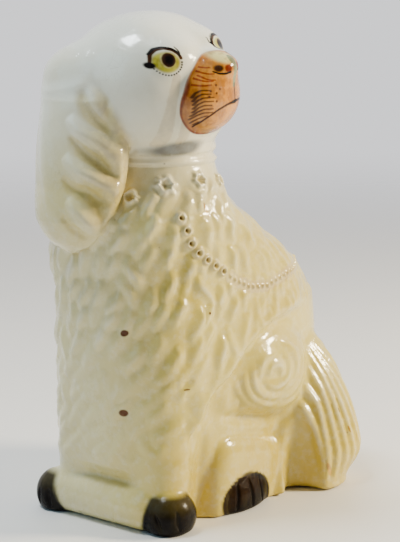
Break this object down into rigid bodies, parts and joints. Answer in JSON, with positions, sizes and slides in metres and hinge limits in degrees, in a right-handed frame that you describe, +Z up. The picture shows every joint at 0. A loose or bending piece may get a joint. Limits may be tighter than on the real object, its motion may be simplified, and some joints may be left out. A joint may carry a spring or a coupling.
{
  "type": "seated spaniel figurine",
  "caption": "Hollow glazed earthenware figurine of a seated long-eared spaniel, head turned to its left side, with collar, locket and chain, for a mantelpiece.",
  "frame": {"origin": "centre of the bounding box's bottom face, on the plane the figure stands on", "axes": "+Z up; the dog's chest points to -X and its tail to +X; the display side, where the face looks, is -Y"},
  "size_m": [0.2134, 0.1335, 0.305],
  "materials": {
    "cream_glaze": "glossy cream glaze over moulded fur",
    "bare_slip": "thinly glazed clay",
    "sponged_muzzle": "orange sponged enamel under clear glaze",
    "nose_glaze": "cream glaze with painted nostrils",
    "trim_glaze": "glossy cream glaze",
    "chain_glaze": "cream glaze with worn gilding",
    "painted_paw": "brown-black enamel that fades into the cream"
  },
  "bodies": {
    "root": {"body_front_shell": "cream_glaze", "body_back_shell": "cream_glaze", "base_slab": "bare_slip", "front_apron": "cream_glaze", "head_face_shell": "cream_glaze", "head_back_shell": "cream_glaze", "muzzle": "sponged_muzzle", "nose": "nose_glaze", "right_ear": "cream_glaze", "left_ear": "cream_glaze", "collar": "trim_glaze", "locket": "trim_glaze", "chain": "chain_glaze", "left_forepaw": "painted_paw", "right_forepaw": "painted_paw", "left_hind_foot": "painted_paw", "right_hind_foot": "painted_paw", "left_haunch": "cream_glaze", "right_haunch": "cream_glaze", "tail": "cream_glaze"}
  },
  "joints": []
}
